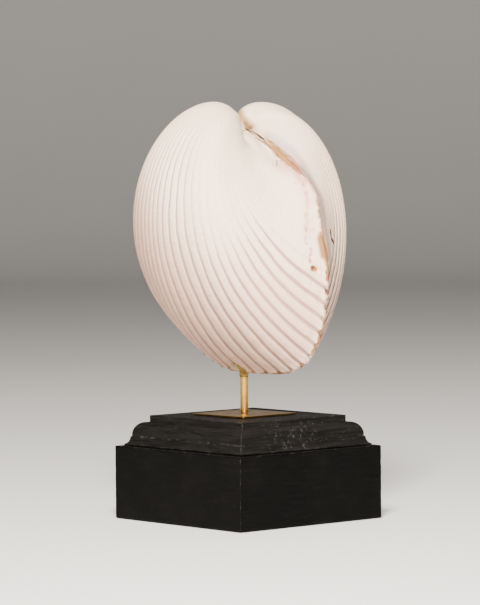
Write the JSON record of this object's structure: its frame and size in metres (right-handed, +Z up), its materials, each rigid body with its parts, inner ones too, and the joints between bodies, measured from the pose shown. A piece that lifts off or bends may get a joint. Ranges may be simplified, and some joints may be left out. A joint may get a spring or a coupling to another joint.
{
  "type": "mounted cockle shell",
  "caption": "Large ribbed heart-shaped cockle shell, both halves closed, held on a brass rod above a square brass plate and a stepped black wooden base.",
  "frame": {"origin": "centre of the underside of the wooden base", "axes": "+Z up; the base's sides lie along X and Y; the shell's rear slope, with the line between its halves, faces -Y; the left half is on -X"},
  "size_m": [0.1145, 0.1334, 0.2202],
  "materials": {
    "shell": "natural shell, satin, ivory white",
    "horn": "dried horny ligament, dull brown",
    "glue": "hard amber adhesive, slightly glossy",
    "brass": "bare brass, lightly tarnished",
    "black_wood": "ebonised wood, satin, worn at the edges"
  },
  "bodies": {
    "root": {"left_valve": "shell", "right_valve": "shell", "ligament": "horn", "glue_bead": "glue", "brass_rod": "brass", "brass_plate": "brass", "plinth_top": "black_wood", "plinth_block": "black_wood"}
  },
  "joints": []
}
